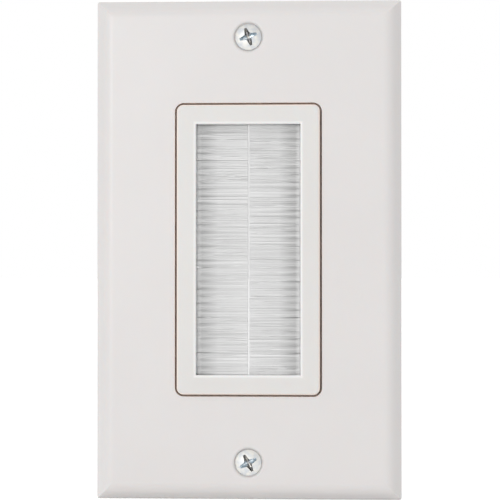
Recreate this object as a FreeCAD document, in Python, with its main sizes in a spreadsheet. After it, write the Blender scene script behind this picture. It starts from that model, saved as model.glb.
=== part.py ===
import FreeCAD
import Part
import Sketcher
import math
import os

# A single-gang wall plate with a brush insert that lets cables pass through the wall.
# Millimetres. The wall is the plane y = 0, the plate faces -Y and +Z is up. The origin lies on
# the wall plane, midway between the two screws that hold the insert to the wall box.

SIZES = [
    # name, size, what it measures
    ("plate_width", 69.85, "wall plate, side to side"),
    ("plate_height", 114.3, "wall plate, bottom to top"),
    ("plate_depth", 5.6, "wall to the plate's face"),
    ("bevel_width", 3.95, "bevel and its rounding, round the face"),
    ("bevel_slope", 55.0, "bevel to the face, degrees"),
    ("bevel_radius", 3.0, "rounding from the face to the bevel"),
    ("corner_radius", 0.6, "plan radius of the plate's corners"),
    ("plate_wall", 2.0, "thickness behind the face"),
    ("rim_wall", 2.0, "thickness of the rim at the wall"),
    ("cavity_lean", 2.4, "inward lean of the hollow's sides"),
    ("cavity_radius", 1.0, "corner radius of the hollow"),
    ("opening_width", 33.5, "opening for the insert, side to side"),
    ("opening_radius", 2.0, "corner radius of the opening"),
    ("collar_wall", 1.5, "raised collar behind the opening"),
    ("collar_gap", 0.3, "collar and ribs to the strap"),
    ("boss_clearance", 0.45, "plate screw's seat to the box screw's head"),
    ("rib_width", 1.2, "stiffening ribs behind the face"),
    ("rib_margin", 1.9, "end of the opening to the last rib"),
    ("rib_count", 4, "ribs on each side"),
    ("insert_gap", 0.5, "plate opening to the insert"),
    ("bezel_proud", 1.0, "insert in front of the plate"),
    ("bezel_wall", 1.6, "thickness of the bezel"),
    ("bezel_border", 4.39, "insert's edge to the window"),
    ("bezel_edge_radius", 0.5, "rounding of the bezel's edge"),
    ("window_edge_radius", 0.35, "rounding of the window's edge"),
    ("insert_wall", 1.5, "side walls of the insert"),
    ("throat_depth", 8.0, "insert behind the wall plane"),
    ("strap_width", 40.0, "mounting strap, side to side"),
    ("strap_thickness", 2.2, "mounting strap"),
    ("strap_radius", 5.0, "corners of the strap"),
    ("strap_clearance", 0.25, "strap to the plate's hollow"),
    ("plate_screw_inset", 8.73, "plate's end to its screw"),
    ("box_screw_step", 6.75, "plate screw to box screw"),
    ("box_screw_offset", 8.245, "box screw to the end of the opening"),
    ("screw_radius", 1.7526, "number 6 screw"),
    ("thread_clearance", 0.05, "screw in its threaded hole"),
    ("screw_hole_clearance", 0.2, "screw in a plain hole"),
    ("plate_head_radius", 3.1, "oval head of a plate screw"),
    ("plate_head_dome", 1.0, "rise of the oval head"),
    ("head_land", 0.15, "straight edge of a screw head"),
    ("head_angle", 82.0, "cone under an oval head"),
    ("sink_clearance", 0.2, "head to the rim of its sink"),
    ("seat_clearance", 0.03, "between two seated faces"),
    ("plate_screw_length", 12.7, "from the head's edge to the end"),
    ("recess_reach", 2.0, "centre to the tip of a cross arm"),
    ("recess_arm_width", 0.8, "from flank to flank of a cross arm"),
    ("recess_depth", 2.1, "depth of a cross recess"),
    ("recess_draw", 0.52, "floor of the recess as a share"),
    ("upper_screw_turn", 19.5, "upper cross, turned to the left, degrees"),
    ("lower_screw_turn", 27.5, "lower cross, turned to the left, degrees"),
    ("box_head_radius", 3.3, "cheese head of a box screw"),
    ("box_head_clearance", 0.3, "cheese head to the plate"),
    ("box_slot_width", 0.9, "driver slot in a cheese head"),
    ("box_slot_depth", 0.9, "driver slot in a cheese head"),
    ("box_screw_reach", 19.0, "box screw behind the wall plane"),
    ("neck_radius", 1.5, "bare neck of a box screw"),
    ("slot_clearance", 0.25, "screw to the slot's sides"),
    ("slot_travel", 2.5, "sideways play of a box screw"),
    ("seat_depth", 0.6, "sunk seat of the cheese head"),
    ("seat_margin", 0.3, "cheese head to the edge of its seat"),
    ("keeper_size", 7.0, "fibre washer that holds a screw"),
    ("keeper_thickness", 0.7, "fibre washer"),
    ("keeper_gap", 0.1, "washer to its pocket"),
    ("channel_height", 2.5, "brush channel, mouth to back"),
    ("channel_depth", 3.0, "brush channel, front to rear"),
    ("channel_wall", 0.5, "sheet of the brush channel"),
    ("channel_bend", 0.9, "outer radius of its two folds"),
    ("channel_clearance", 0.1, "channel to the insert's wall"),
    ("channel_end_gap", 0.3, "channel's ends to the insert"),
    ("core_wire_radius", 0.45, "wire inside the fold"),
    ("fold_thickness", 0.45, "bristles between wire and channel"),
    ("bristle_clearance", 0.02, "pressed bristles to metal"),
    ("bristle_margin", 1.0, "bare channel at each end"),
    ("tip_gap", 0.1, "tips to the middle of the window"),
    ("tuft_pitch", 1.0, "from tuft to tuft in one row"),
    ("tuft_width", 0.66, "one tuft along the channel, at its root"),
    ("tip_width", 0.82, "one tuft along the channel, at its tips"),
    ("row_gap", 0.1, "between the two rows"),
    ("retainer_depth", 2.4, "frame behind the channels"),
    ("retainer_gap", 0.15, "frame to the insert's walls"),
    ("retainer_setback", 0.3, "frame's opening behind the window"),
    ("hook_leg", 1.2, "thickness of a hooked leg"),
    ("hook_width", 6.0, "width of a hooked leg"),
    ("hook_inset", 13.4, "end of the room to the middle of a leg"),
    ("hook_start", 2.2, "frame to the foot of the barb"),
    ("hook_rise", 2.0, "length of the barb"),
    ("hook_reach", 1.0, "barb beyond its leg"),
    ("hook_tip", 1.0, "leg beyond the barb"),
    ("hook_window_gap", 0.1, "barb to its window"),
    ("cut_past", 1.0, "how far a cut runs past the surface"),
]

# Places worked out from the sizes. Depths grow from the wall plane towards the room.
PLATE_SCREW_Z = "(Sizes.plate_height / 2 - Sizes.plate_screw_inset)"
BOX_SCREW_Z = f"({PLATE_SCREW_Z} - Sizes.box_screw_step)"
HOLLOW_FLOOR = "(Sizes.plate_depth - Sizes.plate_wall)"
COLLAR_RISE = f"({HOLLOW_FLOOR} - Sizes.strap_thickness - Sizes.collar_gap)"
OPENING_HEIGHT = f"(2 * ({BOX_SCREW_Z} - Sizes.box_screw_offset))"
BOSS_RADIUS = "(Sizes.box_screw_step - Sizes.box_head_radius - Sizes.boss_clearance)"
RIB_PITCH = f"(({OPENING_HEIGHT} - 2 * Sizes.rib_margin) / (Sizes.rib_count - 1))"
BEZEL_FACE = "(Sizes.plate_depth + Sizes.bezel_proud)"
INSERT_WIDTH = "(Sizes.opening_width - 2 * Sizes.insert_gap)"
INSERT_HEIGHT = f"({OPENING_HEIGHT} - 2 * Sizes.insert_gap)"
WINDOW_WIDTH = f"({INSERT_WIDTH} - 2 * Sizes.bezel_border)"
WINDOW_HEIGHT = f"({INSERT_HEIGHT} - 2 * Sizes.bezel_border)"
ROOM_WIDTH = f"({INSERT_WIDTH} - 2 * Sizes.insert_wall)"
ROOM_HEIGHT = f"({INSERT_HEIGHT} - 2 * Sizes.insert_wall)"
CHANNEL_FRONT = f"({BEZEL_FACE} - Sizes.bezel_wall)"
CHANNEL_REAR = f"({CHANNEL_FRONT} - Sizes.channel_depth)"
BRUSH_MIDDLE = f"({CHANNEL_FRONT} - Sizes.channel_depth / 2)"
CHANNEL_BACK_X = f"({ROOM_WIDTH} / 2 - Sizes.channel_clearance)"
CHANNEL_MOUTH_X = f"({CHANNEL_BACK_X} - Sizes.channel_height)"
CHANNEL_LENGTH = f"({ROOM_HEIGHT} - 2 * Sizes.channel_end_gap)"
FOLD_BACK_X = f"({CHANNEL_BACK_X} - Sizes.channel_wall - Sizes.bristle_clearance)"
CORE_WIRE_X = f"({FOLD_BACK_X} - Sizes.fold_thickness - Sizes.core_wire_radius)"
BRISTLE_LENGTH = f"({CHANNEL_LENGTH} - 2 * Sizes.bristle_margin)"
FOLD_DEPTH = "(Sizes.channel_depth - 2 * Sizes.channel_wall - 2 * Sizes.bristle_clearance)"
RETAINER_REAR = f"({CHANNEL_REAR} - Sizes.retainer_depth)"
BARB_FOOT = f"({RETAINER_REAR} - Sizes.hook_start)"
BARB_TOP = f"({BARB_FOOT} - Sizes.hook_rise)"
LEG_X = f"({ROOM_WIDTH} / 2 - Sizes.retainer_gap)"
LEG_Z = f"({ROOM_HEIGHT} / 2 - Sizes.hook_inset)"
SINK_RADIUS = "(Sizes.plate_head_radius + Sizes.sink_clearance)"
HEAD_SLOPE = "tan(Sizes.head_angle * 1deg / 2)"
SINK_DEPTH = f"(({SINK_RADIUS} - Sizes.screw_radius - Sizes.screw_hole_clearance) / {HEAD_SLOPE})"
HEAD_EDGE = f"(Sizes.plate_depth - (Sizes.sink_clearance - Sizes.seat_clearance) / {HEAD_SLOPE})"
HEAD_SEAT = "(Sizes.strap_thickness - Sizes.seat_depth)"
HEAD_TOP = f"({HOLLOW_FLOOR} - Sizes.box_head_clearance)"

SIDES = (("left", -1), ("right", 1))
ENDS = (("upper", 1), ("lower", -1))

# Two places closer than this are the same place.
SAME = 1e-6
# A cut that takes away less than this has missed.
LEAST_CUT = 1e-3


def make_sheet(doc):
    sheet = doc.addObject("Spreadsheet::Sheet", "Sizes")
    for row, (name, size, meaning) in enumerate(SIZES, start=1):
        sheet.set(f"A{row}", name)
        sheet.set(f"B{row}", str(size))
        sheet.set(f"C{row}", meaning)
        sheet.setAlias(f"B{row}", name)
    doc.recompute()


def new_body(doc, name):
    body = doc.addObject("PartDesign::Body", name)
    body.Label = name
    return body


def origin_part(body, role):
    return next(part for part in body.Origin.OriginFeatures if part.Role == role)


def new_sketch(body, name, role, offset="0"):
    """A sketch on one of the body's origin planes, moved along that plane's normal."""
    sketch = body.newObject("Sketcher::SketchObject", name)
    sketch.AttachmentSupport = [(origin_part(body, role), "")]
    sketch.MapMode = "FlatFace"
    sketch.setExpression("AttachmentOffset.Base.z", offset)
    return sketch


def number(sketch, expression):
    value = sketch.evalExpression(expression)
    return float(getattr(value, "Value", value))


def bind(sketch, kind, geometry, value_of):
    """Add a measured constraint whose value follows an expression."""
    constraint = Sketcher.Constraint(kind, *geometry, number(sketch, value_of))
    index = sketch.addConstraint(constraint)
    sketch.setExpression(f"Constraints[{index}]", value_of)


def pin(sketch, geometry, point, across, up):
    """Place one point of the sketch, measured from the sketch's origin."""
    bind(sketch, "DistanceX", (-1, 1, geometry, point), across)
    bind(sketch, "DistanceY", (-1, 1, geometry, point), up)


def outline(sketch, corners, arcs=None, centres=None):
    """Close a loop through the corners. An entry in arcs gives the radius of the side that
    starts at that corner and turns to the left about its centre. A half circle is held by how
    far across its centre lies, given in centres, and the other arcs by their radius."""
    arcs = arcs or {}
    centres = centres or {}
    places = [FreeCAD.Vector(number(sketch, across), number(sketch, up), 0) for across, up in corners]
    sides = []
    for index, start in enumerate(places):
        end = places[(index + 1) % len(places)]
        if index in arcs:
            side = left_arc(start, end, number(sketch, arcs[index]))
        else:
            side = Part.LineSegment(start, end)
        sides.append(sketch.addGeometry(side, False))
    for index, side in enumerate(sides):
        pin(sketch, side, 1, *corners[index])
        following = sides[(index + 1) % len(sides)]
        sketch.addConstraint(Sketcher.Constraint("Coincident", side, 2, following, 1))
        if index in centres:
            bind(sketch, "DistanceX", (-1, 1, side, 3), centres[index])
        elif index in arcs:
            bind(sketch, "Radius", (side,), arcs[index])


def left_arc(start, end, radius):
    chord = end - start
    height = math.sqrt(max(radius ** 2 - (chord.Length / 2) ** 2, 0))
    centre = start + chord / 2 + FreeCAD.Vector(-chord.y, chord.x, 0) * (height / chord.Length)
    circle = Part.Circle(centre, FreeCAD.Vector(0, 0, 1), radius)
    first = math.atan2(start.y - centre.y, start.x - centre.x)
    last = math.atan2(end.y - centre.y, end.x - centre.x)
    if last < first:
        last += 2 * math.pi
    return Part.ArcOfCircle(circle, first, last)


def rectangle(sketch, width, height, across="0", up="0"):
    left = f"{across} - {width} / 2"
    right = f"{across} + {width} / 2"
    low = f"{up} - {height} / 2"
    high = f"{up} + {height} / 2"
    outline(sketch, [(left, low), (right, low), (right, high), (left, high)])


def round_rectangle(sketch, width, height, radius, across="0", up="0"):
    corners = []
    for ends, rises in ((1, -1), (1, 1), (-1, 1), (-1, -1)):
        edge = f"{across} + {ends} * {width} / 2"
        level = f"{up} + {rises} * {height} / 2"
        beside = (f"{edge} - {ends} * {radius}", level)
        above = (edge, f"{level} - {rises} * {radius}")
        corners += [beside, above] if ends * rises < 0 else [above, beside]
    outline(sketch, corners, {side: radius for side in (0, 2, 4, 6)})


def slot(sketch, travel, radius, across="0", up="0"):
    """An oblong hole that lies sideways."""
    left = f"{across} - {travel} / 2"
    right = f"{across} + {travel} / 2"
    low = f"{up} - {radius}"
    high = f"{up} + {radius}"
    outline(sketch, [(right, low), (right, high), (left, high), (left, low)],
            {0: radius, 2: radius}, {0: right, 2: left})


def circle(sketch, radius, across="0", up="0"):
    centre = FreeCAD.Vector(number(sketch, across), number(sketch, up), 0)
    normal = FreeCAD.Vector(0, 0, 1)
    geometry = sketch.addGeometry(Part.Circle(centre, normal, number(sketch, radius)), False)
    pin(sketch, geometry, 3, across, up)
    bind(sketch, "Radius", (geometry,), radius)


def depth_sketch(body, name, depth):
    """A sketch parallel to the wall: x across, z up, at a depth in front of the wall plane."""
    return new_sketch(body, name, "XZ_Plane", depth)


def feature(body, kind, name, sketch):
    made = body.newObject(kind, name)
    made.Profile = sketch
    made.Refine = True
    return made


def pad(body, name, sketch, length, backward=False, symmetric=False):
    made = feature(body, "PartDesign::Pad", name, sketch)
    made.setExpression("Length", length)
    made.Reversed = backward
    made.SideType = "Symmetric" if symmetric else "One side"
    return made


def pocket(body, name, sketch, length, forward=False, symmetric=False):
    """Cut from the sketch away from the room, or towards it with forward."""
    made = feature(body, "PartDesign::Pocket", name, sketch)
    made.setExpression("Length", length)
    made.Reversed = forward
    made.SideType = "Symmetric" if symmetric else "One side"
    return made


def turned(body, kind, name, sketch):
    """Turn a sketch of the x-y plane about its own upright axis."""
    made = feature(body, kind, name, sketch)
    made.ReferenceAxis = (sketch, ["V_Axis"])
    made.Angle = 360
    return made


def mirrored(body, name, originals):
    """Repeat features on the other side of the x-y plane."""
    made = body.newObject("PartDesign::Mirrored", name)
    made.Originals = originals
    made.MirrorPlane = (origin_part(body, "XY_Plane"), [""])
    body.Tip = made
    return made


def row_along_z(body, name, originals, step, count):
    made = body.newObject("PartDesign::LinearPattern", name)
    made.Originals = originals
    made.Direction = (origin_part(body, "Z_Axis"), [""])
    made.Mode = "Spacing"
    made.setExpression("Offset", step)
    made.setExpression("Occurrences", count)
    body.Tip = made
    return made


def round_edges(body, name, radius, belongs):
    """Round the edges of the solid so far that belongs() picks out."""
    body.Document.recompute()
    base = body.Tip
    edges = [f"Edge{index}" for index, edge in enumerate(base.Shape.Edges, start=1) if belongs(edge)]
    made = body.newObject("PartDesign::Fillet", name)
    made.Base = (base, edges)
    made.setExpression("Radius", radius)
    return made


def size_of(doc, expression):
    value = doc.Sizes.evalExpression(expression.replace("Sizes.", ""))
    return float(getattr(value, "Value", value))


def wall_plate(doc):
    body = new_body(doc, "wall_plate")
    face_y = "-Sizes.plate_depth"
    roll_width = "Sizes.bevel_radius * sin(Sizes.bevel_slope * 1deg)"
    roll_y = f"({face_y} + Sizes.bevel_radius * (1 - cos(Sizes.bevel_slope * 1deg)))"
    slope_width = f"(Sizes.bevel_width - {roll_width})"
    rim_y = f"({roll_y} + {slope_width} * tan(Sizes.bevel_slope * 1deg))"

    # The plate's section, run over its whole height.
    side = "Sizes.plate_width / 2"
    section = new_sketch(body, "plate_section", "XY_Plane")
    corners = [
        (side, "0"),
        (f"-{side}", "0"),
        (f"-{side}", rim_y),
        (f"-{side} + {slope_width}", roll_y),
        (f"-{side} + Sizes.bevel_width", face_y),
        (f"{side} - Sizes.bevel_width", face_y),
        (f"{side} - {slope_width}", roll_y),
        (side, rim_y),
    ]
    outline(section, corners, {3: "Sizes.bevel_radius", 5: "Sizes.bevel_radius"})
    pad(body, "plate_block", section, "Sizes.plate_height", symmetric=True)

    # The same bevel along the top and bottom ends, which meets the sides in mitres.
    end = "Sizes.plate_height / 2"
    waste = new_sketch(body, "end_bevels", "YZ_Plane")
    upper_waste = [
        (rim_y, end),
        (roll_y, f"{end} - {slope_width}"),
        (face_y, f"{end} - Sizes.bevel_width"),
        (f"{face_y} - Sizes.cut_past", f"{end} - Sizes.bevel_width"),
        (f"{face_y} - Sizes.cut_past", f"{end} + Sizes.cut_past"),
        (rim_y, f"{end} + Sizes.cut_past"),
    ]
    outline(waste, upper_waste, {1: "Sizes.bevel_radius"})
    lower_waste = [(depth, f"-({up})") for depth, up in upper_waste[::-1]]
    outline(waste, lower_waste, {3: "Sizes.bevel_radius"})
    pocket(body, "end_bevel_cut", waste, "2 * Sizes.plate_width", symmetric=True)

    # The hollow behind the face, with sides that lean in like the bevel.
    wide = "Sizes.plate_width - 2 * Sizes.rim_wall"
    tall = "Sizes.plate_height - 2 * Sizes.rim_wall"
    lean = "2 * Sizes.cavity_lean"
    mouth = depth_sketch(body, "hollow_mouth", "0")
    round_rectangle(mouth, f"({wide})", f"({tall})", "Sizes.cavity_radius")
    floor = depth_sketch(body, "hollow_floor", HOLLOW_FLOOR)
    round_rectangle(floor, f"({wide} - {lean})", f"({tall} - {lean})", "Sizes.cavity_radius")
    hollow = feature(body, "PartDesign::SubtractiveLoft", "hollow", mouth)
    hollow.Sections = [floor]
    hollow.Ruled = True

    # Raised from the hollow's floor: the collar, the screw seats and the ribs.
    collar = depth_sketch(body, "collar_outline", HOLLOW_FLOOR)
    collar_width = "(Sizes.opening_width + 2 * Sizes.collar_wall)"
    collar_height = f"({OPENING_HEIGHT} + 2 * Sizes.collar_wall)"
    collar_radius = "(Sizes.opening_radius + Sizes.collar_wall)"
    round_rectangle(collar, collar_width, collar_height, collar_radius)
    pad(body, "collar", collar, COLLAR_RISE, backward=True)
    boss = depth_sketch(body, "boss_outline", HOLLOW_FLOOR)
    for _, way in ENDS:
        circle(boss, BOSS_RADIUS, "0", f"{way} * {PLATE_SCREW_Z}")
    pad(body, "screw_seats", boss, f"{HOLLOW_FLOOR} - Sizes.strap_thickness", backward=True)
    rib_end = "(Sizes.plate_width / 2 - Sizes.rim_wall - Sizes.cavity_lean / 2)"
    rib_length = f"({rib_end} - Sizes.opening_width / 2)"
    rib_middle = f"({rib_end} + Sizes.opening_width / 2) / 2"
    first_rib = f"-{RIB_PITCH} * (Sizes.rib_count - 1) / 2"
    rib = depth_sketch(body, "rib_outline", HOLLOW_FLOOR)
    for _, way in SIDES:
        rectangle(rib, rib_length, "Sizes.rib_width", f"{way} * {rib_middle}", first_rib)
    ribs = pad(body, "ribs", rib, COLLAR_RISE, backward=True)
    row_along_z(body, "rib_rows", [ribs], RIB_PITCH, "Sizes.rib_count")

    opening = depth_sketch(body, "opening_outline", "-Sizes.cut_past")
    round_rectangle(opening, "Sizes.opening_width", OPENING_HEIGHT, "Sizes.opening_radius")
    pocket(body, "opening", opening, "Sizes.plate_depth + 2 * Sizes.cut_past", forward=True)

    # A countersunk hole for each plate screw.
    hole_radius = "Sizes.screw_radius + Sizes.screw_hole_clearance"
    sink = new_sketch(body, "sink_section", "XY_Plane", PLATE_SCREW_Z)
    corners = [
        ("0", "Sizes.cut_past"),
        ("0", f"{face_y} - Sizes.cut_past"),
        (SINK_RADIUS, f"{face_y} - Sizes.cut_past"),
        (SINK_RADIUS, face_y),
        (hole_radius, f"{face_y} + {SINK_DEPTH}"),
        (hole_radius, "Sizes.cut_past"),
    ]
    outline(sink, corners)
    upper_sink = turned(body, "PartDesign::Groove", "upper_sink", sink)
    mirrored(body, "both_sinks", [upper_sink])

    # Small plan radius on the four corners of the rim.
    half_width = size_of(doc, side)
    half_height = size_of(doc, end)

    def rim_corner(edge):
        middle = edge.BoundBox.Center
        upright = edge.BoundBox.XLength < SAME and edge.BoundBox.ZLength < SAME
        at_side = math.isclose(abs(middle.x), half_width, abs_tol=SAME)
        return upright and at_side and math.isclose(abs(middle.z), half_height, abs_tol=SAME)

    round_edges(body, "corner_rounding", "Sizes.corner_radius", rim_corner)
    return body


def brush_insert(doc):
    body = new_body(doc, "brush_insert")
    total_depth = f"Sizes.throat_depth + {BEZEL_FACE}"
    block = depth_sketch(body, "bezel_outline", "-Sizes.throat_depth")
    corner = "(Sizes.opening_radius - Sizes.insert_gap)"
    round_rectangle(block, INSERT_WIDTH, INSERT_HEIGHT, corner)
    pad(body, "bezel_block", block, total_depth)

    strap = depth_sketch(body, "strap_outline", "0")
    hollow_end = "(Sizes.rim_wall + Sizes.cavity_lean + Sizes.strap_clearance)"
    strap_height = f"(Sizes.plate_height - 2 * {hollow_end})"
    round_rectangle(strap, "Sizes.strap_width", strap_height, "Sizes.strap_radius")
    pad(body, "strap", strap, "Sizes.strap_thickness")

    # The room for the brushes, open to the rear, and the window in the bezel.
    room = depth_sketch(body, "room_outline", "-Sizes.throat_depth")
    rectangle(room, ROOM_WIDTH, ROOM_HEIGHT)
    pocket(body, "room", room, f"{total_depth} - Sizes.bezel_wall", forward=True)
    window = depth_sketch(body, "window_outline", f"{CHANNEL_FRONT} - Sizes.cut_past")
    rectangle(window, WINDOW_WIDTH, WINDOW_HEIGHT)
    pocket(body, "window", window, "Sizes.bezel_wall + 2 * Sizes.cut_past", forward=True)

    # Windows in the side walls for the barbs of the retainer.
    barbs = new_sketch(body, "barb_windows", "YZ_Plane")
    gap = "Sizes.hook_window_gap"
    window_length = f"(Sizes.hook_rise + 2 * {gap})"
    window_middle = f"-({BARB_FOOT} + {BARB_TOP}) / 2"
    for _, way in ENDS:
        rectangle(barbs, window_length, f"(Sizes.hook_width + 2 * {gap})", window_middle,
                  f"{way} * {LEG_Z}")
    pocket(body, "barb_window_cut", barbs, "2 * Sizes.opening_width", symmetric=True)

    # Screw holes in the strap. A box screw has a sunk seat in front, an oblong hole, and a
    # square pocket behind for the washer that keeps the screw in place.
    strap_front = "Sizes.strap_thickness + Sizes.cut_past"
    plate_holes = depth_sketch(body, "plate_screw_holes", strap_front)
    slots = depth_sketch(body, "box_screw_slots", strap_front)
    seats = depth_sketch(body, "head_seats", strap_front)
    pockets = depth_sketch(body, "keeper_pockets", "-Sizes.cut_past")
    pocket_size = "(Sizes.keeper_size + 2 * Sizes.keeper_gap)"
    for _, way in ENDS:
        circle(plate_holes, "Sizes.screw_radius + Sizes.thread_clearance", "0",
               f"{way} * {PLATE_SCREW_Z}")
        slot(slots, "Sizes.slot_travel", "(Sizes.screw_radius + Sizes.slot_clearance)", "0",
             f"{way} * {BOX_SCREW_Z}")
        slot(seats, "Sizes.slot_travel", "(Sizes.box_head_radius + Sizes.seat_margin)", "0",
             f"{way} * {BOX_SCREW_Z}")
        rectangle(pockets, pocket_size, pocket_size, "0", f"{way} * {BOX_SCREW_Z}")
    pocket(body, "plate_screw_hole_cut", plate_holes, f"{strap_front} + Sizes.cut_past")
    pocket(body, "box_screw_slot_cut", slots, f"{strap_front} + Sizes.cut_past")
    pocket(body, "head_seat_cut", seats, "Sizes.seat_depth + Sizes.cut_past")
    pocket(body, "keeper_pocket_cut", pockets, "Sizes.keeper_thickness + Sizes.cut_past", forward=True)

    # Soft edges round the bezel's face and round its window.
    face_y = -size_of(doc, BEZEL_FACE)
    window_half = size_of(doc, f"{WINDOW_WIDTH} / 2")
    window_top = size_of(doc, f"{WINDOW_HEIGHT} / 2")

    def on_face(edge):
        box = edge.BoundBox
        return box.YLength < SAME and math.isclose(box.Center.y, face_y, abs_tol=SAME)

    def at_window(edge):
        box = edge.BoundBox
        inside = max(abs(box.XMin), abs(box.XMax)) < window_half + SAME
        return on_face(edge) and inside and max(abs(box.ZMin), abs(box.ZMax)) < window_top + SAME

    round_edges(body, "window_rounding", "Sizes.window_edge_radius", at_window)
    edge_reach = size_of(doc, f"{INSERT_WIDTH} / 2 - {corner}") - SAME
    edge_rise = size_of(doc, f"{INSERT_HEIGHT} / 2 - {corner}") - SAME

    def at_rim(edge):
        middle = edge.BoundBox.Center
        return on_face(edge) and (abs(middle.x) > edge_reach or abs(middle.z) > edge_rise)

    round_edges(body, "bezel_rounding", "Sizes.bezel_edge_radius", at_rim)
    return body


def brush_channel(doc, side, way):
    """Sheet metal folded to a U, open towards the middle of the window."""
    body = new_body(doc, f"{side}_brush_channel")
    front = f"-{CHANNEL_FRONT}"
    rear = f"-{CHANNEL_REAR}"
    back = f"{way} * {CHANNEL_BACK_X}"
    mouth = f"{way} * {CHANNEL_MOUTH_X}"
    section = new_sketch(body, "channel_section", "XY_Plane")
    turn = f"{way} * Sizes.channel_bend"
    corners = [
        (mouth, front),
        (f"{back} - {turn}", front),
        (back, f"{front} + Sizes.channel_bend"),
        (back, f"{rear} - Sizes.channel_bend"),
        (f"{back} - {turn}", rear),
        (mouth, rear),
    ]
    if way < 0:
        corners = corners[::-1]
    outline(section, corners, {1: "Sizes.channel_bend", 3: "Sizes.channel_bend"})
    pad(body, "folded_strip", section, CHANNEL_LENGTH, symmetric=True)
    groove = new_sketch(body, "groove_section", "XY_Plane")
    floor = f"{way} * ({CHANNEL_BACK_X} - Sizes.channel_wall)"
    beyond = f"{way} * ({CHANNEL_MOUTH_X} - Sizes.cut_past)"
    near = f"{front} + Sizes.channel_wall"
    far = f"{rear} - Sizes.channel_wall"
    outline(groove, [(beyond, near), (floor, near), (floor, far), (beyond, far)])
    pocket(body, "channel_groove", groove, f"2 * {CHANNEL_LENGTH}", symmetric=True)
    return body


def core_wire(doc, side, way):
    wire = doc.addObject("Part::Cylinder", f"{side}_core_wire")
    wire.Label = f"{side}_core_wire"
    wire.setExpression("Radius", "Sizes.core_wire_radius")
    wire.setExpression("Height", CHANNEL_LENGTH)
    wire.setExpression("Placement.Base.x", f"{way} * {CORE_WIRE_X}")
    wire.setExpression("Placement.Base.y", f"-{BRUSH_MIDDLE}")
    wire.setExpression("Placement.Base.z", f"-{CHANNEL_LENGTH} / 2")
    return wire


def bristles(doc, side, way):
    """Bristles folded over the core wire. They leave the channel in two rows of tufts, one from
    each leg of the fold, and every tuft widens towards its tips."""
    body = new_body(doc, f"{side}_bristles")
    middle = f"-{BRUSH_MIDDLE}"
    half_fold = f"({FOLD_DEPTH} / 2)"
    root = f"({CHANNEL_MOUTH_X} + Sizes.bristle_clearance)"
    fold = new_sketch(body, "fold_section", "XY_Plane")
    mouth = f"{way} * {root}"
    back = f"{way} * {FOLD_BACK_X}"
    outline(fold, [(mouth, f"{middle} - {half_fold}"), (back, f"{middle} - {half_fold}"),
                   (back, f"{middle} + {half_fold}"), (mouth, f"{middle} + {half_fold}")])
    circle(fold, "Sizes.core_wire_radius + Sizes.bristle_clearance", f"{way} * {CORE_WIRE_X}", middle)
    pad(body, "folded_roots", fold, BRISTLE_LENGTH, symmetric=True)

    # Seen from the front. The rear row stands half a pitch higher and fills the front row's gaps.
    half_gap = "Sizes.row_gap / 2"
    lowest = f"(-{BRISTLE_LENGTH} / 2 + Sizes.tip_width / 2)"
    tip = f"{way} * Sizes.tip_gap"
    tufts = []
    for name, face, shift in (("front_tuft", 1, 0), ("rear_tuft", -1, 1 / 2)):
        level = f"({lowest} + {shift} * Sizes.tuft_pitch)"
        tuft = depth_sketch(body, f"{name}_outline", f"{BRUSH_MIDDLE} + {face} * {half_gap}")
        outline(tuft, [(mouth, f"{level} - Sizes.tuft_width / 2"), (tip, f"{level} - Sizes.tip_width / 2"),
                       (tip, f"{level} + Sizes.tip_width / 2"), (mouth, f"{level} + Sizes.tuft_width / 2")])
        tufts.append(pad(body, name, tuft, f"{half_fold} - {half_gap}", backward=face < 0))
    count = f"floor(({BRISTLE_LENGTH} - Sizes.tip_width) / Sizes.tuft_pitch)"
    row_along_z(body, "tuft_rows", tufts, "Sizes.tuft_pitch", count)
    return body


def rear_retainer(doc):
    """A frame pushed in from the rear. Four barbed legs catch in the insert's side walls."""
    body = new_body(doc, "rear_retainer")
    frame = depth_sketch(body, "frame_outline", RETAINER_REAR)
    tall = f"({ROOM_HEIGHT} - 2 * Sizes.retainer_gap)"
    rectangle(frame, f"(2 * {LEG_X})", tall)
    setback = "2 * Sizes.retainer_setback"
    rectangle(frame, f"({WINDOW_WIDTH} + {setback})", f"({WINDOW_HEIGHT} + {setback})")
    pad(body, "frame", frame, "Sizes.retainer_depth")

    legs = new_sketch(body, "leg_section", "XY_Plane", LEG_Z)
    root = f"-{RETAINER_REAR} - Sizes.hook_leg"
    foot = f"-{BARB_FOOT}"
    top = f"-{BARB_TOP}"
    end = f"{top} + Sizes.hook_tip"
    for _, way in SIDES:
        face = f"{way} * {LEG_X}"
        inner = f"{way} * ({LEG_X} - Sizes.hook_leg)"
        barb = f"{way} * ({LEG_X} + Sizes.hook_reach)"
        outline(legs, [(inner, root), (face, root), (face, foot), (barb, top), (face, top),
                       (face, end), (inner, end)])
    upper_legs = pad(body, "upper_legs", legs, "Sizes.hook_width", symmetric=True)
    mirrored(body, "lower_legs", [upper_legs])
    return body


def cross_recess(body, top):
    """Cut a cross recess into a head whose highest point lies at the depth top. Its arms shorten
    towards their floor."""
    mouth = f"-{top}"
    floor = f"-({top} - Sizes.recess_depth)"
    reach = "Sizes.recess_reach"
    floor_reach = "Sizes.recess_draw * Sizes.recess_reach"
    corners = [(mouth, f"-{reach}"), (mouth, reach), (floor, floor_reach), (floor, f"-{floor_reach}")]
    upright = new_sketch(body, "upright_arms", "YZ_Plane")
    outline(upright, corners)
    pocket(body, "upright_arm_cut", upright, "Sizes.recess_arm_width", symmetric=True)
    level = new_sketch(body, "level_arms", "XY_Plane")
    outline(level, [corner[::-1] for corner in corners])
    pocket(body, "level_arm_cut", level, "Sizes.recess_arm_width", symmetric=True)


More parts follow.
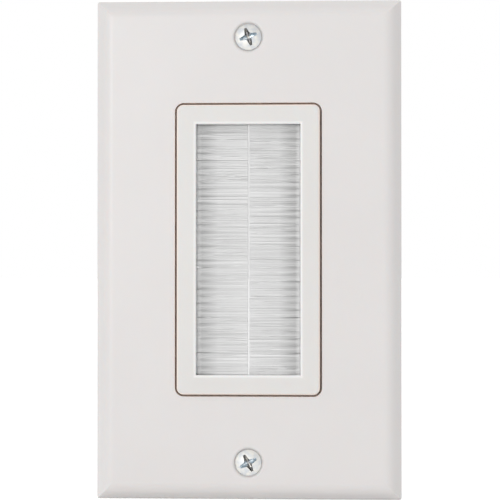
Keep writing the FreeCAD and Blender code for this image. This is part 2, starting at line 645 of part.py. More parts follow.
def plate_screw(doc, end, way):
    """Oval head in the plate's countersink, shank through the plate into the strap."""
    body = new_body(doc, f"{end}_plate_screw")
    edge = f"-{HEAD_EDGE}"
    land = f"{edge} - Sizes.head_land"
    dome_top = f"{land} - Sizes.plate_head_dome"
    shank_end = f"{edge} + Sizes.plate_screw_length"
    cone = f"(Sizes.plate_head_radius - Sizes.screw_radius) / {HEAD_SLOPE}"
    dome = "Sizes.plate_head_dome"
    dome_radius = f"(Sizes.plate_head_radius ^ 2 + {dome} ^ 2) / (2 * {dome})"
    section = new_sketch(body, "screw_section", "XY_Plane")
    corners = [
        ("0", dome_top),
        ("Sizes.plate_head_radius", land),
        ("Sizes.plate_head_radius", edge),
        ("Sizes.screw_radius", f"{edge} + {cone}"),
        ("Sizes.screw_radius", shank_end),
        ("0", shank_end),
    ]
    outline(section, corners, {0: dome_radius})
    turned(body, "PartDesign::Revolution", "screw", section)
    top = f"({HEAD_EDGE} + Sizes.head_land + {dome})"
    cross_recess(body, top)
    body.Placement.Rotation = FreeCAD.Rotation(FreeCAD.Vector(0, -1, 0), 1)
    body.setExpression("Placement.Rotation.Angle", f"Sizes.{end}_screw_turn")
    body.setExpression("Placement.Base.z", f"{way} * {PLATE_SCREW_Z}")
    return body


def box_screw(doc, end, way):
    """Cheese head sunk in the strap, a bare neck inside the strap and its washer, then thread."""
    body = new_body(doc, f"{end}_box_screw")
    seat = f"-{HEAD_SEAT} - Sizes.seat_clearance"
    shank_end = "Sizes.box_screw_reach"
    section = new_sketch(body, "screw_section", "XY_Plane")
    corners = [
        ("0", f"-{HEAD_TOP}"),
        ("Sizes.box_head_radius", f"-{HEAD_TOP}"),
        ("Sizes.box_head_radius", seat),
        ("Sizes.neck_radius", seat),
        ("Sizes.neck_radius", "0"),
        ("Sizes.screw_radius", "0"),
        ("Sizes.screw_radius", shank_end),
        ("0", shank_end),
    ]
    outline(section, corners)
    turned(body, "PartDesign::Revolution", "screw", section)
    driver = depth_sketch(body, "driver_slot_outline", HEAD_TOP)
    rectangle(driver, "3 * Sizes.box_head_radius", "Sizes.box_slot_width")
    pocket(body, "driver_slot", driver, "Sizes.box_slot_depth")
    body.setExpression("Placement.Base.z", f"{way} * {BOX_SCREW_Z}")
    return body


def screw_keeper(doc, end, way):
    """Square fibre washer, pushed over the screw's neck and flush with the strap's back."""
    body = new_body(doc, f"{end}_screw_keeper")
    sheet = depth_sketch(body, "keeper_outline", "0")
    middle = f"{way} * {BOX_SCREW_Z}"
    rectangle(sheet, "Sizes.keeper_size", "Sizes.keeper_size", "0", middle)
    circle(sheet, "Sizes.neck_radius + Sizes.thread_clearance", "0", middle)
    pad(body, "keeper", sheet, "Sizes.keeper_thickness")
    return body


def build(doc):
    make_sheet(doc)
    pieces = [wall_plate(doc), brush_insert(doc), rear_retainer(doc)]
    for side, way in SIDES:
        pieces.append(brush_channel(doc, side, way))
        pieces.append(core_wire(doc, side, way))
        pieces.append(bristles(doc, side, way))
    for end, way in ENDS:
        pieces.append(plate_screw(doc, end, way))
        pieces.append(box_screw(doc, end, way))
        pieces.append(screw_keeper(doc, end, way))
    doc.recompute()
    return pieces


def check(doc, pieces):
    for item in doc.Objects:
        if "Invalid" in item.State or "Error" in item.State:
            raise RuntimeError(f"{item.Name} failed: {item.State}")
    for item in doc.Objects:
        cut = item.TypeId in ("PartDesign::Pocket", "PartDesign::Groove", "PartDesign::SubtractiveLoft")
        if cut and item.Shape.Volume > item.BaseFeature.Shape.Volume - LEAST_CUT:
            raise RuntimeError(f"{item.Name} cuts nothing")
    for piece in pieces:
        shape = piece.Shape
        if shape.isNull() or not shape.isValid() or len(shape.Solids) != 1:
            raise RuntimeError(f"{piece.Label} isn't one valid solid")


document = FreeCAD.newDocument("brush_cable_grommet")
all_pieces = build(document)
check(document, all_pieces)
os.makedirs("parts", exist_ok=True)
for piece in all_pieces:
    piece.Shape.exportStep(f"parts/{piece.Label}.step")
    print(f"{piece.Label}: {piece.Shape.Volume:.1f} cubic mm")
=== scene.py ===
import math
import random

import bmesh
import bpy
from mathutils import Matrix, Vector


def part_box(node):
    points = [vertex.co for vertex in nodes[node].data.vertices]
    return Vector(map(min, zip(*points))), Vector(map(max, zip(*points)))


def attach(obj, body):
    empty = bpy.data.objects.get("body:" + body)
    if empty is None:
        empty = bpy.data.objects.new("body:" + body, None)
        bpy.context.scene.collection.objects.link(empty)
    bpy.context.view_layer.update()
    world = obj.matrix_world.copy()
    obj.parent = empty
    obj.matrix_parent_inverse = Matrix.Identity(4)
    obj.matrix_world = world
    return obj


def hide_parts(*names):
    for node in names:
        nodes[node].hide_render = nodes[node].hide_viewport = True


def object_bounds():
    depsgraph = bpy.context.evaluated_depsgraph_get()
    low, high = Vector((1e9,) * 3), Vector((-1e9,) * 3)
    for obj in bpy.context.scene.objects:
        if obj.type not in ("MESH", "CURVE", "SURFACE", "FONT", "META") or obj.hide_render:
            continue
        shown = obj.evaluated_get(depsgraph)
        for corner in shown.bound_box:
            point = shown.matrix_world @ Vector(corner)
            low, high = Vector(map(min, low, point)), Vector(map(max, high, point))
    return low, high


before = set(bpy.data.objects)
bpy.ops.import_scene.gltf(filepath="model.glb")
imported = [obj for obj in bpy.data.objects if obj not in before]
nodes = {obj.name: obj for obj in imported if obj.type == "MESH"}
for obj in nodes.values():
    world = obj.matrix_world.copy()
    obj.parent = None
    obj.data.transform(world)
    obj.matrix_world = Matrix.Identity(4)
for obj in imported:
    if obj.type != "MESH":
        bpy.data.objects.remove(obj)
cad_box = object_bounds()
MM = 0.001

# Camera. It stands in front of the plate, a touch to the right of it and below its middle, and
# looks at the middle of the face from about a third of a metre.
look_at = Vector((0.394, -5.6, -0.095)) * MM
view_distance = 348.3 * MM
view_turn = math.radians(2.25)
view_rise = math.radians(-0.59)
camera_data = bpy.data.cameras.new("camera")
camera_data.sensor_width = 36.0
camera_data.lens = 110.3
camera_data.clip_start = 0.01
camera_data.clip_end = 20.0
camera = bpy.data.objects.new("camera", camera_data)
bpy.context.scene.collection.objects.link(camera)


def direction(turn, rise):
    """The way from the plate to a thing in front of it, turned to the right and raised."""
    return Vector((
        math.sin(turn) * math.cos(rise),
        -math.cos(turn) * math.cos(rise),
        math.sin(rise),
    ))


away = direction(view_turn, view_rise)
camera.location = look_at + view_distance * away
camera.rotation_euler = (-away).to_track_quat("-Z", "Y").to_euler()
bpy.context.scene.camera = camera

# Brush insert. The white moulding that fills the plate's opening, with its window, its throat
# and the strap that screws to the wall box. It is moulded in one shot of glossy thermoplastic
# in a polished tool, so its skin is smooth, with a faint flow ripple and a trace of texture.
window_half_width = 11.86 * MM
insert_tones = ((0.80, 0.785, 0.765), (0.785, 0.77, 0.75))
glossy_skin = (0.30, 0.39)
plastic_soak = 0.25
soak_reach = 0.6 * MM
soak_by_colour = (1.0, 0.7, 0.55)
drift_size = 18 * MM
ripple_size = 7 * MM
ripple_height = 0.01 * MM
# Painted warm light: the walls of the narrow gap round the insert get a warmer, lighter white that stands
# in for the warm light between the parts.
gap_painted_warm_light = (1.0, 0.87, 0.79)
gap_wall = dict(half_width=16.25 * MM, half_height=32.93 * MM, none=-0.6 * MM, full=-0.2 * MM,
                front=-6.55 * MM, back=-0.1 * MM)
# Painted highlight: a band along the window's edge and its wall is painted nearly pure white.
window_painted_highlight = (0.98, 0.975, 0.97)
window_wall = dict(half_width=window_half_width, half_height=28.54 * MM, none=0.7 * MM, full=0.0,
                   front=-6.7 * MM, back=-4.9 * MM)


def new_material(name, metallic=0.0):
    """A bare material, which is a metal where metallic is 1."""
    material = bpy.data.materials.new(name)
    material.use_nodes = True
    material.node_tree.nodes["Principled BSDF"].inputs["Metallic"].default_value = metallic
    return material


def noise_node(material, size, detail=2.0, roughness=0.5, stretch=(1, 1, 1)):
    """A noise whose spots are about size metres across, in the object's own space."""
    tree = material.node_tree
    place = tree.nodes.new("ShaderNodeTexCoord")
    scale = tree.nodes.new("ShaderNodeMapping")
    scale.inputs["Scale"].default_value = stretch
    noise = tree.nodes.new("ShaderNodeTexNoise")
    noise.inputs["Scale"].default_value = 1 / size
    noise.inputs["Detail"].default_value = detail
    noise.inputs["Roughness"].default_value = roughness
    tree.links.new(place.outputs["Object"], scale.inputs["Vector"])
    tree.links.new(scale.outputs["Vector"], noise.inputs["Vector"])
    return noise.outputs["Fac"]


def two_tones(material, factor, low_tone, high_tone, low=0.35, high=0.65):
    """A colour that runs between two tones with a factor's value."""
    ramp = material.node_tree.nodes.new("ShaderNodeValToRGB")
    ramp.color_ramp.elements[0].position = low
    ramp.color_ramp.elements[0].color = (*low_tone, 1)
    ramp.color_ramp.elements[1].position = high
    ramp.color_ramp.elements[1].color = (*high_tone, 1)
    material.node_tree.links.new(factor, ramp.inputs["Fac"])
    return ramp.outputs["Color"]


def between(tree, factor, low, high, start=0.3, end=0.7):
    """A number that runs from low to high as a factor runs from start to end."""
    span = tree.nodes.new("ShaderNodeMapRange")
    span.inputs["From Min"].default_value = start
    span.inputs["From Max"].default_value = end
    span.inputs["To Min"].default_value = low
    span.inputs["To Max"].default_value = high
    tree.links.new(factor, span.inputs["Value"])
    return span.outputs["Result"]


def worked_out(tree, operation, *values):
    """What an operation makes of its values, each of them a number or a node's output."""
    step = tree.nodes.new("ShaderNodeMath")
    step.operation = operation
    for place, value in zip(step.inputs, values):
        if isinstance(value, float):
            place.default_value = value
        else:
            tree.links.new(value, place)
    return step.outputs["Value"]


def own_axes(tree):
    """How far a point of the surface lies along X, Y and Z from the object's origin."""
    place = tree.nodes.new("ShaderNodeTexCoord")
    axes = tree.nodes.new("ShaderNodeSeparateXYZ")
    tree.links.new(place.outputs["Object"], axes.inputs["Vector"])
    return axes.outputs["X"], axes.outputs["Y"], axes.outputs["Z"]


def near_edge(tree, half_width, half_height, none, full, front, back):
    """Runs from 0 to 1 as the way outside a box round the middle goes from none to full. Only
    surfaces between the depths front and back count."""
    across, depth, up = own_axes(tree)
    ways = [worked_out(tree, "SUBTRACT", worked_out(tree, "ABSOLUTE", axis), half)
            for axis, half in ((across, half_width), (up, half_height))]
    share = between(tree, worked_out(tree, "MAXIMUM", *ways), low=0.0, high=1.0, start=none, end=full)
    within = worked_out(tree, "COMPARE", depth, (front + back) / 2, (back - front) / 2)
    return worked_out(tree, "MULTIPLY", share, within)


def finish(material, colour, roughness, bumps):
    """Give a material its colour, its roughness and its bumps, which are pairs of a height factor
    and a height in metres, each on top of the one before."""
    tree = material.node_tree
    surface = tree.nodes["Principled BSDF"]
    tree.links.new(colour, surface.inputs["Base Color"])
    tree.links.new(roughness, surface.inputs["Roughness"])
    normal = None
    for factor, height in bumps:
        bump = tree.nodes.new("ShaderNodeBump")
        bump.inputs["Distance"].default_value = height
        tree.links.new(factor, bump.inputs["Height"])
        if normal:
            tree.links.new(normal, bump.inputs["Normal"])
        normal = bump.outputs["Normal"]
    tree.links.new(normal, surface.inputs["Normal"])


def moulded_plastic(name, tones, roughness, grain=0.6 * MM, grain_height=0.002 * MM, edges=()):
    """White thermoplastic: a faint drift of tone, a ripple from the flow and a fine grain. Light
    soaks a little way in. Each of the edges is a colour of painted light and the wall that has it.
    The first one is the wall of the narrow gap round the insert, painted a warm light, and no light soaks
    in there."""
    material = new_material(name)
    tree = material.node_tree
    surface = tree.nodes["Principled BSDF"]
    surface.inputs["IOR"].default_value = 1.49
    surface.inputs["Subsurface Weight"].default_value = plastic_soak
    surface.inputs["Subsurface Radius"].default_value = soak_by_colour
    surface.inputs["Subsurface Scale"].default_value = soak_reach
    drift = noise_node(material, drift_size, detail=3.0)
    ripple = noise_node(material, ripple_size, detail=1.0)
    skin = noise_node(material, grain, detail=4.0, roughness=0.6)
    colour = two_tones(material, drift, *tones)
    for index, (edge_painted_light, wall) in enumerate(edges):
        share = near_edge(tree, **wall)
        tint = tree.nodes.new("ShaderNodeMix")
        tint.data_type = "RGBA"
        tint.inputs["B"].default_value = (*edge_painted_light, 1)
        tree.links.new(share, tint.inputs["Factor"])
        tree.links.new(colour, tint.inputs["A"])
        colour = tint.outputs["Result"]
        if index == 0:
            soak = between(tree, share, low=plastic_soak, high=0.0, start=0.0, end=1.0)
            tree.links.new(soak, surface.inputs["Subsurface Weight"])
    finish(material, colour, between(tree, skin, *roughness),
           [(ripple, ripple_height), (skin, grain_height)])
    return material


def dress(node, material):
    """Give one of the model's solids its finish."""
    piece = nodes[node]
    if not piece.material_slots:
        piece.data.materials.append(material)
    for place in piece.material_slots:
        place.material = material


insert_white = moulded_plastic("insert_white", insert_tones, glossy_skin,
                               edges=((gap_painted_warm_light, gap_wall), (window_painted_highlight, window_wall)))
dress("brush_insert", insert_white)

# Brush channels. Each strip brush is held by a strip of galvanised sheet steel, folded to a U
# and crimped over the bristles. The zinc shows soft spangles and rolling lines along the strip.
spangle_size = 2.2 * MM
spangle_tones = ((0.50, 0.51, 0.53), (0.64, 0.65, 0.67))
spangle_roughness = (0.32, 0.46)
rolling_size = 0.12 * MM
rolling_height = 0.004 * MM
channel_zinc = new_material("channel_zinc", metallic=1.0)
channel_tree = channel_zinc.node_tree
spangle = channel_tree.nodes.new("ShaderNodeTexVoronoi")
spangle.inputs["Scale"].default_value = 1 / spangle_size
spangle_place = channel_tree.nodes.new("ShaderNodeTexCoord")
channel_tree.links.new(spangle_place.outputs["Object"], spangle.inputs["Vector"])
spangle_value = channel_tree.nodes.new("ShaderNodeSeparateColor")
channel_tree.links.new(spangle.outputs["Color"], spangle_value.inputs["Color"])
rolling = noise_node(channel_zinc, rolling_size, stretch=(1, 1, 0.02))
finish(channel_zinc,
       two_tones(channel_zinc, spangle_value.outputs["Red"], *spangle_tones, low=0.0, high=1.0),
       between(channel_tree, spangle_value.outputs["Green"], *spangle_roughness),
       [(rolling, rolling_height)])
for side in ("left", "right"):
    dress(f"{side}_brush_channel", channel_zinc)

# Core wires. A drawn steel wire lies in each fold of bristles and keeps them in the channel.
# Drawing leaves fine lines along it, and a few dull patches of oxide.
oxide_size = 3 * MM
wire_tones = ((0.58, 0.58, 0.60), (0.42, 0.41, 0.40))
wire_roughness = (0.25, 0.45)
drawing_size = 0.06 * MM
drawing_height = 0.003 * MM
wire_steel = new_material("wire_steel", metallic=1.0)
drawing = noise_node(wire_steel, drawing_size, stretch=(1, 1, 0.01))
oxide = noise_node(wire_steel, oxide_size, detail=3.0)
finish(wire_steel,
       two_tones(wire_steel, oxide, *wire_tones),
       between(wire_steel.node_tree, oxide, *wire_roughness),
       [(drawing, drawing_height)])
for side in ("left", "right"):
    dress(f"{side}_core_wire", wire_steel)

# Bristles. Clear white nylon filaments, finer than a sixth of a millimetre, are folded over the
# core wire in small bundles. They leave the channel's mouth as two legs, close up to an even
# curtain, and are trimmed straight at the middle, a hair's breadth from the other brush.
brush_half_length = 30.05 * MM
mouth_reach = 0.3 * MM
leg_reach = 0.95 * MM
leg_spread = 0.28 * MM
tip_inset = 0.11 * MM
bundle_pitch = 1.62 * MM
bundle_squeeze = 0.92
squeeze_range = (0.9, 1.1)
bundle_shift = 0.045
filament_radius = 0.075 * MM
radius_range = (0.9, 1.08)
filament_layers = 11
filament_step = 0.127 * MM
row_range = (0.15, 0.35)
layer_range = (0.35, 0.65)
trim_scatter = 0.015 * MM
depth_scatter = 0.02 * MM
strays = 60
stray_leg = -1.1
ring_shares = (0.0, 0.075, 0.15, 0.45, 1.0)
ring_sides = 4
fold_clearance = 0.02 * MM
fold_wall = 0.42 * MM
fold_swell = 0.06 * MM
fold_slices = 4
fold_steps = 8

# Each pair has a value for a filament in its row and one for a stray filament.
closing_power = (5, 1.5)
spreading_power = (20, 1.5)
tip_scatter = (0.025 * MM, 0.725 * MM)
bow_scatter = (0.015 * MM, 0.115 * MM)

# Tones run from 0, the nylon's greyest, to 1, its whitest. Besides a little random tone, they
# carry painted shade: a filament is darker where its bundle leaves the channel, most of all between two
# bundles, and under the window's top.
bundle_tone_range = 0.02
filament_tone_scatter = 0.012
# The cut tips, where the two brushes meet, are painted darker as painted shade.
tip_painted_shade = 0.8
# The fold round the wire, inside the channel, is painted darker as painted shade.
fold_painted_shade = 0.45
root_shade = 0.88
root_shade_setback = 0.3 * MM
root_shade_reach = 1.15 * MM
bundle_middle_shade = 0.62
bundle_side_shade = 1.5
top_shade = 0.27
top_shade_level = 28.4 * MM
top_shade_reach = 2.6 * MM

nylon_tones = ((0.62, 0.62, 0.618), (0.99, 0.99, 0.988))
nylon_roughness = (0.30, 0.42)
extrusion_size = 0.08 * MM
extrusion_height = 0.004 * MM
nylon = new_material("bristle_nylon")
nylon.node_tree.nodes["Principled BSDF"].inputs["IOR"].default_value = 1.53
strand = nylon.node_tree.nodes.new("ShaderNodeAttribute")
strand.attribute_name = "strand_tone_and_shade"
extrusion = noise_node(nylon, extrusion_size, stretch=(0.05, 1, 1))
finish(nylon,
       two_tones(nylon, strand.outputs["Fac"], *nylon_tones, low=0.0, high=1.0),
       between(nylon.node_tree, strand.outputs["Fac"], *nylon_roughness),
       [(extrusion, extrusion_height)])


def folded_roots(side, way, mouth, brush_depth, bundles):
    """The roots, folded over the wire: a sheet bent to a U, a little thicker in every bundle."""
    wire_low, wire_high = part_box(f"{side}_core_wire")
    wire = abs(wire_low.x + wire_high.x) / 2
    inner = (wire_high.x - wire_low.x) / 2 + fold_clearance
    slices = bundles * fold_slices
    points = []
    for cut in range(slices + 1):
        up = -brush_half_length + 2 * brush_half_length * cut / slices
        outer = inner + fold_wall + fold_swell * abs(math.sin(math.pi * cut / fold_slices))
        section = []
        for reach, turns in ((outer, range(fold_steps + 1)), (inner, range(fold_steps, -1, -1))):
            arc = [(wire + reach * math.sin(math.pi * turn / fold_steps),
                    brush_depth - reach * math.cos(math.pi * turn / fold_steps)) for turn in turns]
            section += [(mouth, arc[0][1])] + arc + [(mouth, arc[-1][1])]
        points.extend((way * across, depth, up) for across, depth in section)
    size = len(section)
    faces = []
    for cut in range(slices):
        for index in range(size):
            near = cut * size + index
            beside = cut * size + (index + 1) % size
            side_face = (near, beside, beside + size, near + size)
            faces.append(side_face if way > 0 else side_face[::-1])
    for start in (0, slices * size):
        cap = [(start + index, start + index + 1, start + size - 2 - index, start + size - 1 - index)
               for index in range(size // 2 - 1)]
        faces.extend(cap if (start == 0) == (way < 0) else [face[::-1] for face in cap])
    return points, faces


def strip_brush(side, way, seed, whiteness):
    """One strip brush's filaments, from inside the channel's mouth to their trimmed tips."""
    draw = random.Random(seed)
    channel_low, channel_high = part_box(f"{side}_brush_channel")
    mouth = min(abs(channel_low.x), abs(channel_high.x)) + mouth_reach
    brush_depth = (channel_low.y + channel_high.y) / 2
    bundles = round(2 * brush_half_length / bundle_pitch)
    pitch = 2 * brush_half_length / bundles
    bundle_middles = [-brush_half_length + (index + 0.5) * pitch for index in range(bundles)]
    bundle_shifts = [draw.uniform(-bundle_shift, bundle_shift) * pitch for _ in range(bundles)]
    bundle_tones = [draw.uniform(-bundle_tone_range, bundle_tone_range) for _ in range(bundles)]
    points = []
    faces = []
    tones = []

    def filament(path, radius, tone, deepen):
        """A thin rod along a path, closed at its root and at its cut tip."""
        first = len(points)
        for across, depth, up in path:
            # Painted shade near the window's side edges, deepest between two bundles.
            inside = max(0, window_half_width - root_shade_setback - abs(across)) / root_shade_reach
            shade = deepen * root_shade * inside * math.exp(1 - inside)
            for corner in range(ring_sides):
                angle = way * 2 * math.pi * (corner + 0.5) / ring_sides
                points.append((across, depth + radius * math.cos(angle), up + radius * math.sin(angle)))
                tones.append(tone - shade)
        for ring in range(len(path) - 1):
            for corner in range(ring_sides):
                near = first + ring * ring_sides + corner
                beside = first + ring * ring_sides + (corner + 1) % ring_sides
                faces.append((near, near + ring_sides, beside + ring_sides, beside))
        last = first + (len(path) - 1) * ring_sides
        faces.append(tuple(range(first, first + ring_sides)))
        tip = len(points)
        points.extend(points[last:last + ring_sides])
        tones.extend([tip_painted_shade] * ring_sides)
        faces.append(tuple(range(tip, tip + ring_sides))[::-1])

    def bristle(leg, up, stray):
        """One filament at a height. Its leg runs from -1, the fold's front, to 1, its back."""
        index = min(bundles - 1, max(0, int((up + brush_half_length) / pitch)))
        squeeze = bundle_squeeze * draw.uniform(*squeeze_range)
        root_up = bundle_middles[index] + bundle_shifts[index] + (up - bundle_middles[index]) * squeeze
        tip_up = up + draw.gauss(0, tip_scatter[stray])
        tip_up = max(-brush_half_length, min(brush_half_length, tip_up))
        root_depth = brush_depth + leg * leg_reach
        tip_depth = root_depth + leg * leg_spread + draw.gauss(0, depth_scatter)
        tip = tip_inset + abs(draw.gauss(0, trim_scatter))
        bow = draw.gauss(0, bow_scatter[stray])
        path = []
        for part in ring_shares:
            closed = 1 - (1 - part) ** closing_power[stray]
            spread = 1 - (1 - part) ** spreading_power[stray]
            path.append((way * (mouth + (tip - mouth) * part),
                         root_depth + (tip_depth - root_depth) * spread,
                         root_up + (tip_up - root_up) * closed + bow * math.sin(math.pi * part)))
        tone = whiteness + bundle_tones[index] + draw.gauss(0, filament_tone_scatter)
        # Painted shade under the window's top edge.
        tone -= top_shade * math.exp((up - top_shade_level) / top_shade_reach)
        beside = abs(up - bundle_middles[index]) / pitch
        filament(path, filament_radius * draw.uniform(*radius_range), tone,
                 bundle_middle_shade + bundle_side_shade * beside)

    rows = int(2 * brush_half_length / filament_step)
    for layer in range(filament_layers):
        for row in range(rows):
            level = row + draw.uniform(*row_range) + 0.5 * (layer % 2)
            leg = 2 * (layer + draw.uniform(*layer_range)) / filament_layers - 1
            bristle(leg, level * filament_step - brush_half_length, stray=0)
    for _ in range(strays):
        bristle(stray_leg, draw.uniform(-1, 1) * brush_half_length, stray=1)

    root_points, root_faces = folded_roots(side, way, mouth, brush_depth, bundles)
    faces.extend(tuple(len(points) + corner for corner in face) for face in root_faces)
    points.extend(root_points)
    tones.extend([fold_painted_shade] * len(root_points))

    mesh = bpy.data.meshes.new(f"{side}_strip_brush")
    mesh.from_pydata(points, [], faces)
    attribute = mesh.attributes.new("strand_tone_and_shade", "FLOAT", "POINT")
    attribute.data.foreach_set("value", tones)
    mesh.materials.append(nylon)
    mesh.shade_smooth()
    brush = bpy.data.objects.new(f"{side}_strip_brush", mesh)
    bpy.context.scene.collection.objects.link(brush)
    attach(brush, "root")
    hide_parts(f"{side}_bristles")


# The right brush is given a lower whiteness than the left, a painted shade for the light falling less on
# it.
strip_brush("left", way=-1, seed=11, whiteness=0.985)
strip_brush("right", way=1, seed=23, whiteness=0.95)

# Rear retainer. A white frame pressed in from behind until its four barbs snap into the
# insert's side walls, so that both channels are clamped. It is plainer and a little duller.
retainer_tones = ((0.74, 0.73, 0.71), (0.72, 0.71, 0.69))
dull_skin = (0.38, 0.47)
retainer_white = moulded_plastic("retainer_white", retainer_tones, dull_skin,
                                 grain=0.4 * MM, grain_height=0.005 * MM)
dress("rear_retainer", retainer_white)

# Screw keepers. Square washers punched from red vulcanised fibre, pushed over the necks of the
# box screws so that these can't fall out of the strap. The sheet has a fine felted grain.
fibre_tones = ((0.30, 0.075, 0.045), (0.40, 0.12, 0.07))
fibre_roughness = (0.62, 0.78)
felt_size = 0.5 * MM
felt_height = 0.02 * MM
fibre = new_material("vulcanised_fibre")
felt = noise_node(fibre, felt_size, detail=5.0, roughness=0.65)
finish(fibre,
       two_tones(fibre, felt, *fibre_tones),
       between(fibre.node_tree, felt, *fibre_roughness),
       [(felt, felt_height)])
for end in ("upper", "lower"):
    dress(f"{end}_screw_keeper", fibre)

# Wall plate. The white cover, moulded of the same family of plastic as the insert but in its
# own shot, so its white is a shade pinker. It is hollow behind, with ribs and screw seats, and
# the face dips softly towards the rim of each seat.
plate_tones = ((0.80, 0.775, 0.765), (0.79, 0.765, 0.755))
# The plate's opening wall gets the same painted warm light as the insert's side of the gap.
opening_wall = dict(half_width=16.75 * MM, half_height=33.43 * MM, none=0.5 * MM, full=0.2 * MM,
                    front=-5.55 * MM, back=-0.1 * MM)
seat_radius = 3.1 * MM
seat_dip_width = 0.55 * MM
seat_dip = 0.22 * MM


def seat_lip(tree, screw_level):
    """Runs softly from 0 to 1 with the way from the screws' axes, from the seat to the face."""
    across, _, up = own_axes(tree)
    beyond = worked_out(tree, "SUBTRACT", worked_out(tree, "ABSOLUTE", up), screw_level)
    flat = tree.nodes.new("ShaderNodeCombineXYZ")
    tree.links.new(across, flat.inputs["X"])
    tree.links.new(beyond, flat.inputs["Y"])
    distance = tree.nodes.new("ShaderNodeVectorMath")
    distance.operation = "LENGTH"
    tree.links.new(flat.outputs["Vector"], distance.inputs[0])
    share = tree.nodes.new("ShaderNodeMapRange")
    share.interpolation_type = "SMOOTHSTEP"
    share.inputs["From Min"].default_value = seat_radius
    share.inputs["From Max"].default_value = seat_radius + seat_dip_width
    tree.links.new(distance.outputs["Value"], share.inputs["Value"])
    return share.outputs["Result"]


plate_white = moulded_plastic("plate_white", plate_tones, glossy_skin,
                              edges=((gap_painted_warm_light, opening_wall),))
plate_tree = plate_white.node_tree
plate_screw_low, plate_screw_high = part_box("upper_plate_screw")
plate_screw_level = (plate_screw_low.z + plate_screw_high.z) / 2
ripple_bump = plate_tree.nodes["Bump"]
lip_bump = plate_tree.nodes.new("ShaderNodeBump")
lip_bump.inputs["Distance"].default_value = seat_dip
plate_tree.links.new(seat_lip(plate_tree, plate_screw_level), lip_bump.inputs["Height"])
plate_tree.links.new(lip_bump.outputs["Normal"], ripple_bump.inputs["Normal"])
dress("wall_plate", plate_white)

# Plate screws. Number 6 screws with an oval head and a cross recess, bright zinc plated. The
# head is cold-formed and the thread is rolled. The recess is painted darker than the dome as painted
# shade, apart from the sideways arms, which are painted lighter as painted reflection.
head_play = 0.12 * MM
head_edge = -5.38 * MM
head_land = 0.12 * MM
head_dome = 1.0 * MM
crown_level = head_edge - head_land - head_dome
head_sides = 72
dome_rings = 14
cone_slope = math.radians(41)
cone_tail = 0.2 * MM
cone_tail_step = 0.3 * MM
sharp_edge = math.radians(32)

# The thread's section is given in shares of its pitch and of its height.
shank_radius = 1.7526 * MM
thread_pitch = 0.79375 * MM
thread_height = 0.487 * MM
thread_section = ((0.0, 0), (0.18, 0), (0.53, 1), (0.65, 1))
thread_sides = 40
thread_spare_turns = 3
thread_point = 0.6 * MM
thread_point_slope = 0.6
thread_overlap = 0.1 * MM

# The recess is one arm's outline, turned four times and scaled at each depth below the crown.
recess_reach = 2.0 * MM
recess_arm = ((1.04, 0.13), (0.6, 0.2), (0.38, 0.25), (0.29, 0.29), (0.25, 0.38), (0.2, 0.6), (0.13, 1.04))
recess_scales = ((-0.3 * MM, 1.25), (1.7 * MM, 0.6), (2.0 * MM, 0.2))

zinc_tones = ((0.60, 0.625, 0.65), (0.76, 0.745, 0.70))
zinc_roughness = (0.46, 0.6)
stain_size = 1.2 * MM
stain_height = 0.05 * MM
scratch_size = 0.1 * MM
scratch_height = 0.003 * MM
screw_zinc = new_material("screw_zinc", metallic=1.0)
stain = noise_node(screw_zinc, stain_size, detail=4.0)
scratch = noise_node(screw_zinc, scratch_size, detail=3.0, stretch=(1, 1, 0.2))
finish(screw_zinc,
       two_tones(screw_zinc, stain, *zinc_tones),
       between(screw_zinc.node_tree, scratch, *zinc_roughness),
       [(stain, stain_height), (scratch, scratch_height)])

# Painted shade for the recess, and a painted reflection for its sideways arms.
recess_painted_shade_tones = ((0.30, 0.31, 0.36), (0.56, 0.53, 0.46))
arm_painted_reflection_tones = ((0.60, 0.68, 0.74), (0.82, 0.86, 0.88))
recess_roughness = (0.25, 0.4)
mottle_size = 0.4 * MM
mottle_height = 0.01 * MM


def recess_finish(name, tones):
    """A recess's zinc, in tones of painted shade or painted reflection, more uneven than on the head."""
    zinc = new_material(name, metallic=1.0)
    mottle = noise_node(zinc, mottle_size, detail=3.0)
    finish(zinc,
           two_tones(zinc, mottle, *tones),
           between(zinc.node_tree, mottle, *recess_roughness),
           [(mottle, mottle_height)])
    return zinc


recess_painted_shade = recess_finish("recess_painted_shade", recess_painted_shade_tones)
arm_painted_reflection = recess_finish("arm_painted_reflection", arm_painted_reflection_tones)


def turned_shell(form, profile, sides):
    """A closed shell turned about the y axis from (radius, depth) pairs, front to back."""
    rings = []
    for radius, depth in profile:
        if radius == 0:
            rings.append([form.verts.new((0, depth, 0))])
            continue
        rings.append([form.verts.new((radius * math.cos(angle), depth, radius * math.sin(angle)))
                      for angle in (2 * math.pi * side / sides for side in range(sides))])
    for first, second in zip(rings, rings[1:]):
        for side in range(sides):
            beside = (side + 1) % sides
            corners = [first[side % len(first)], first[beside % len(first)],
                       second[beside % len(second)], second[side % len(second)]]
            form.faces.new(dict.fromkeys(corners))


